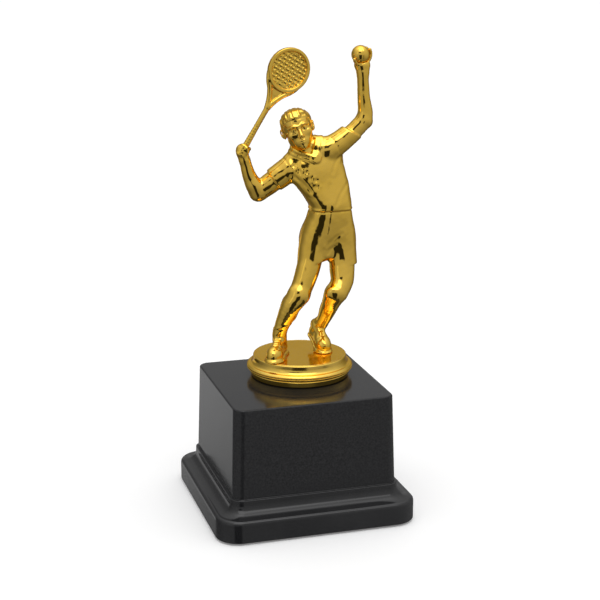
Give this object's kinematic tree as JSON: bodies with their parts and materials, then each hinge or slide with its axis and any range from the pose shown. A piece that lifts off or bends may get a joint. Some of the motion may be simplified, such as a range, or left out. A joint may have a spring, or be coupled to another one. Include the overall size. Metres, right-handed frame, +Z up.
{
  "type": "figure trophy",
  "caption": "Gilt figure of a tennis player serving, with racket and raised ball, on a round turned disc bolted to a square stepped black plinth.",
  "frame": {"origin": "centre of the plinth's footprint, on the surface that the foot pads stand on", "axes": "+Z up, -Y towards the front of the plinth and of the player, +X to the right seen from the front"},
  "size_m": [0.0762, 0.0762, 0.1736],
  "materials": {
    "gold": "mirror electroplated gold on moulded plastic",
    "black_plastic": "moulded gloss black",
    "cement": "cast, rough",
    "board": "pressed board, matt",
    "pad": "foamed rubber, matt",
    "zinc": "bright zinc plate",
    "brass": "machined"
  },
  "bodies": {
    "plinth": {"plinth_shell": "black_plastic", "ballast_block": "cement", "base_board": "board", "foot_pad_1": "pad", "foot_pad_2": "pad", "foot_pad_3": "pad", "foot_pad_4": "pad", "tie_bolt": "zinc", "plate_washer": "zinc", "spring_washer": "zinc"},
    "figure": {"figure_disc": "gold", "threaded_insert": "brass", "player": "gold", "racket": "gold", "ball": "gold"}
  },
  "joints": [
    {"name": "figure_turn", "type": "hinge", "parent": "plinth", "child": "figure", "pos_m": [0.0044, 0.0061, 0.0489], "axis": [0, 0, 1], "continuous": true}
  ]
}
